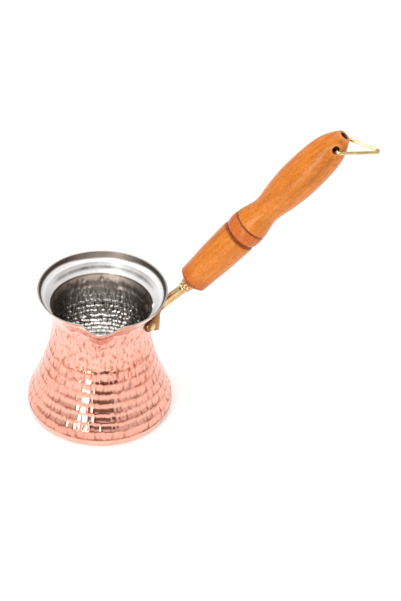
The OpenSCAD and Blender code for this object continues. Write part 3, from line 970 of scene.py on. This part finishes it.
def tin_material():
    """Wiped tin: painted light below, painted shade upwards, at the sides and along the ridges, a clean
    collar, and a band and lip top painted dark as reflections.
    """
    m = Nodes("wiped_tin")
    zone = m.attribute("zone")
    cloud = m.noise(m.coordinates(), 70, 5, 0.6)
    streaks = m.noise(m.coordinates(scale=(40, 40, 900)), 1.0, 5, 0.6)
    grit = m.noise(m.coordinates(), 1800, 4, 0.6)
    patchy = m.ramp(cloud, [(0.30, (0.72, 0.68, 0.64)), (0.60, WHITE)])
    # Painted light and shade: bright towards the bottom, darker upwards.
    painted_depth_light = m.ramp(m.height(), [(0.12, (0.98, 0.98, 0.97)), (0.40, (0.98, 0.96, 0.94)),
                                     (0.58, (0.95, 0.90, 0.85)), (0.74, (0.54, 0.46, 0.40))])
    patchy_with_depth_light = m.mix(1.0, painted_depth_light, patchy, "MULTIPLY")
    # Painted shade along the inner ridges and in the crease under the collar, from the dent attribute.
    ridges = m.ramp(m.attribute("dent"), [(0.0, 0.50), (0.25, 0.88), (0.6, 1.0)])
    # Painted shade at the sides, from a little way up the wall.
    deep = m.ramp(m.height(), [(0.18, 0.0), (0.36, 0.90), (0.75, 0.90)])
    shaded = m.mix(m.math("MULTIPLY", m.attribute("side"), deep), patchy_with_depth_light, (0.075, 0.055, 0.045))
    painted_ridge_shade = m.mix(1.0, shaded, ridges, "MULTIPLY")
    clean = m.ramp(cloud, [(0.30, (0.94, 0.93, 0.93)), (0.80, (0.98, 0.97, 0.97))])
    tarnished = m.math("MULTIPLY", m.attribute("tarnish"), m.ramp(cloud, [(0.35, 0.5), (0.6, 1.0)]))
    collar = m.mix(tarnished, clean, (0.12, 0.105, 0.10))
    # Painted reflection: the lip top grey and the band under it dark, darkest at the sides, for the dark
    # things they reflect.
    lip_top = m.ramp(cloud, [(0.30, (0.44, 0.40, 0.37)), (0.80, (0.55, 0.51, 0.48))])
    painted_band_reflection = m.ramp(cloud, [(0.30, (0.17, 0.14, 0.12)), (0.80, (0.32, 0.28, 0.25))])
    band = m.mix(m.math("MULTIPLY", m.attribute("side"), 0.85), painted_band_reflection, (0.045, 0.035, 0.03))
    collar_part = m.ramp(zone, [(0.20, 0.0), (0.32, 1.0)])
    top_part = m.ramp(zone, [(0.60, 0.0), (0.72, 1.0)])
    band_part = m.ramp(zone, [(0.88, 0.0), (0.95, 1.0)])
    colour = m.mix(band_part, m.mix(top_part, m.mix(collar_part, painted_ridge_shade, collar), lip_top), band)
    matt = m.math("MULTIPLY", m.ramp(zone, [(0.20, 0.0), (0.40, 1.0), (0.62, 0.7), (0.90, 1.0)]), 0.28)
    under_collar = m.ramp(m.height(), [(0.50, 0.0), (0.68, 1.0), (0.75, 1.0), (0.77, 0.0)])
    stained = m.math("MULTIPLY", under_collar, 0.32)
    rough = m.math("ADD", m.math("ADD", m.math("MULTIPLY_ADD", streaks, 0.16, 0.10), matt), stained)
    metal = m.ramp(zone, [(0.20, 1.0), (0.40, 0.38), (0.62, 0.38), (0.72, 0.9)])
    normal = m.bump((streaks, 0.00001), (grit, 0.000008))
    m.set(m.shader, Base_Color=colour, Metallic=metal, Roughness=rough, Normal=normal)
    return m.material


def cast_brass_material():
    """Cast brass with painted shade in its recesses and a painted shadow along the seam with the wall,
    reddened where it reflects the pot, a painted reflection.
    """
    m = Nodes("cast_brass")
    cloud = m.noise(m.coordinates(), 160, 5, 0.6)
    grain = m.noise(m.coordinates(), 2200, 4, 0.6)
    recess = m.add("ShaderNodeNewGeometry").outputs["Pointiness"]
    base = m.ramp(cloud, [(0.28, (0.62, 0.42, 0.20)), (0.55, (0.80, 0.59, 0.32)), (0.8, (0.88, 0.70, 0.44))])
    # Painted shade: darker in the recesses, from pointiness.
    recess_shade = m.ramp(recess, [(0.42, (0.16, 0.10, 0.06)), (0.49, (0.75, 0.66, 0.55)), (0.52, WHITE)])
    reddened = m.mix(m.math("MULTIPLY", m.attribute("near_pot"), 0.9), base, (0.27, 0.12, 0.05))
    recess_shaded = m.mix(0.9, reddened, recess_shade, "MULTIPLY")
    # Painted shadow: nearly black along the seam with the pot's wall.
    colour = m.mix(m.math("MULTIPLY", m.attribute("seam"), 0.9), recess_shaded, (0.07, 0.035, 0.02))
    rough = m.math("ADD", m.math("MULTIPLY", grain, 0.22), 0.10)
    normal = m.bump((cloud, 0.00010), (grain, 0.00002))
    m.set(m.shader, Base_Color=colour, Metallic=1.0, Roughness=rough, Normal=normal)
    return m.material


def wire_material():
    m = Nodes("drawn_brass_wire")
    cloud = m.noise(m.coordinates(), 220, 4, 0.5)
    lines = m.noise(m.coordinates(scale=(60, 60, 2500)), 1.0, 3, 0.5)
    base = m.ramp(cloud, [(0.3, (0.50, 0.34, 0.15)), (0.6, (0.70, 0.52, 0.27)), (0.8, (0.80, 0.64, 0.38))])
    rough = m.math("ADD", m.math("MULTIPLY", lines, 0.16), 0.12)
    m.set(m.shader, Base_Color=base, Metallic=1.0, Roughness=rough, Normal=m.bump((lines, 0.000015)))
    return m.material


def steel_material():
    m = Nodes("plain_steel")
    cloud = m.noise(m.coordinates(), 180, 4, 0.5)
    base = m.ramp(cloud, [(0.3, (0.36, 0.36, 0.37)), (0.7, (0.55, 0.55, 0.56))])
    m.set(m.shader, Base_Color=base, Metallic=1.0, Roughness=m.math("MULTIPLY_ADD", cloud, 0.2, 0.25))
    return m.material


def wood_material():
    """Stained wood under varnish: long grain, dark flecks, a redder ring and lower end, and painted shade in
    the grooves and inside the holes.
    """
    m = Nodes("varnished_wood")
    long_grain = m.noise(m.along_handle(14), 420, 6, 0.62, 0.3)
    figure = m.noise(m.along_handle(3.5), 75, 4, 0.55, 0.6)
    fleck = m.noise(m.along_handle(7), 1500, 3, 0.5)
    tone = m.math("ADD", m.math("MULTIPLY", long_grain, 0.5), m.math("MULTIPLY", figure, 0.5))
    base = m.ramp(tone, [(0.36, (0.36, 0.105, 0.004)), (0.46, (0.55, 0.150, 0.007)),
                         (0.54, (0.62, 0.175, 0.011)), (0.66, (0.70, 0.225, 0.024))])
    flecks = m.ramp(fleck, [(0.28, (0.60, 0.48, 0.40)), (0.40, WHITE)])
    toned = m.mix(m.math("MULTIPLY", m.attribute("stain"), 0.6), base, (0.50, 0.085, 0.006))
    speckle = m.ramp(m.noise(m.along_handle(2.2), 1300, 3, 0.6),
                     [(0.36, (0.80, 0.82, 0.62)), (0.50, WHITE), (0.64, (1.10, 1.15, 1.6))])
    stained = m.mix(1.0, m.mix(0.6, toned, flecks, "MULTIPLY"), speckle, "MULTIPLY")
    # Painted shade in the grooves.
    grooved = m.mix(m.attribute("groove"), stained, (0.20, 0.022, 0.003))
    rimmed = m.mix(m.math("MULTIPLY", m.attribute("rim"), 0.35), grooved, (0.85, 0.42, 0.20))
    # Painted shade inside the holes.
    colour = m.mix(m.attribute("inside"), rimmed, (0.10, 0.025, 0.008))
    rough = m.math("MULTIPLY_ADD", long_grain, 0.30, 0.13)
    normal = m.bump((long_grain, 0.00013), (fleck, 0.00006))
    m.set(m.shader, Base_Color=colour, Roughness=rough, Coat_Weight=0.06, Coat_Roughness=0.10,
          Specular_IOR_Level=0.34, Normal=normal)
    return m.material


def floor_material():
    m = Nodes("pale_floor")
    m.set(m.shader, Base_Color=(0.93, 0.93, 0.93, 1), Roughness=0.9,
          Emission_Color=(1.0, 1.0, 1.0, 1), Emission_Strength=0.13)
    return m.material


# ---------------------------------------------------------------- studio, in metres
FLOOR_HALF_W = 3.0


def camera():
    """The view of the photograph: from in front of the spout, 37 degrees up, a long lens, a slight roll."""
    elevation, roll, distance = math.radians(37.0), math.radians(2.78), 1.4
    aim_right, aim_up = 0.0595, 0.0295
    back = Vector((0, -math.cos(elevation), math.sin(elevation)))
    right = Vector((1, 0, 0))
    up = Vector((0, math.sin(elevation), math.cos(elevation)))
    target = Vector((0, 0, 0.045)) + aim_right * right + aim_up * up
    x = right * math.cos(roll) + up * math.sin(roll)
    y = -right * math.sin(roll) + up * math.cos(roll)
    data = bpy.data.cameras.new("camera")
    data.sensor_width = 36.0
    data.lens = 137.5
    data.clip_start, data.clip_end = 0.05, 20
    obj = link_object("camera", data)
    turn = Matrix((x, y, back)).transposed().to_4x4()
    obj.matrix_world = Matrix.Translation(target + back * distance) @ turn
    bpy.context.scene.camera = obj


def card(name, half_w, half_h, material):
    """A flat rectangle in its own XY plane."""
    corners = [(-half_w, -half_h, 0), (half_w, -half_h, 0), (half_w, half_h, 0), (-half_w, half_h, 0)]
    mesh = bpy.data.meshes.new(name)
    mesh.from_pydata(corners, [], [(0, 1, 2, 3)])
    mesh.materials.append(material)
    return link_object(name, mesh)


def aim(obj, place_at, aim_at):
    """Moves an object to a place and turns its -Z towards another."""
    direction = Vector(aim_at) - Vector(place_at)
    obj.matrix_world = Matrix.Translation(place_at) @ direction.to_track_quat("-Z", "Y").to_matrix().to_4x4()


def softbox(name, place_at, aim_at, size, power):
    data = bpy.data.lights.new(name, "AREA")
    data.shape = "RECTANGLE"
    data.size, data.size_y = size
    data.energy = power
    aim(link_object(name, data), place_at, aim_at)


def dark_card(name, place_at, aim_at, size):
    """A dark brown card that the camera does not see: it shows only in reflections."""
    m = Nodes(name)
    m.set(m.shader, Base_Color=(0.11, 0.06, 0.035, 1), Roughness=1.0)
    obj = card(name, size[0] / 2, size[1] / 2, m.material)
    aim(obj, place_at, aim_at)
    obj.visible_camera = False
    obj.visible_diffuse = False
    obj.visible_shadow = False


def studio():
    scene = bpy.context.scene
    scene.view_settings.view_transform = "Standard"
    world = bpy.data.worlds.new("studio")
    world.use_nodes = True
    background = world.node_tree.nodes["Background"]
    background.inputs["Color"].default_value = (1, 1, 1, 1)
    background.inputs["Strength"].default_value = 0.80
    scene.world = world
    belly = (0, 0, 0.05)
    softbox("strip", (-0.45, -1.15, 0.50), belly, (0.26, 1.3), 7.5)
    softbox("top", (0.0, 0.1, 1.4), belly, (1.0, 1.0), 7.5)
    dark_card("flag", (0.147, -1.12, 0.14), belly, (0.80, 0.36))


# ---------------------------------------------------------------- build
card("floor", FLOOR_HALF_W, FLOOR_HALF_W, floor_material())
camera()
studio()

place(copper_body(), "pot", "copper", copper_material(), "copper_body")
place(tin_lining(), "pot", "tin", tin_material(), "tin_lining")
brass = cast_brass_material()
place(handle_bracket(), "pot", "brass", brass, "handle_bracket")
place(side_rivets(), "pot", "brass", brass, "side_rivets")
place(rivet("blind_centre_rivet", 0.0, CENTRE_Z, False), "pot", "brass", brass, "centre_rivet")
place(wooden_handle(), "pot", "wood", wood_material(), "wooden_handle")
place(hanging_loop(), "loop", "brass_wire", wire_material(), "hanging_loop")

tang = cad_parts["handle_tang"]
tang.data.materials.clear()
tang.data.materials.append(steel_material())
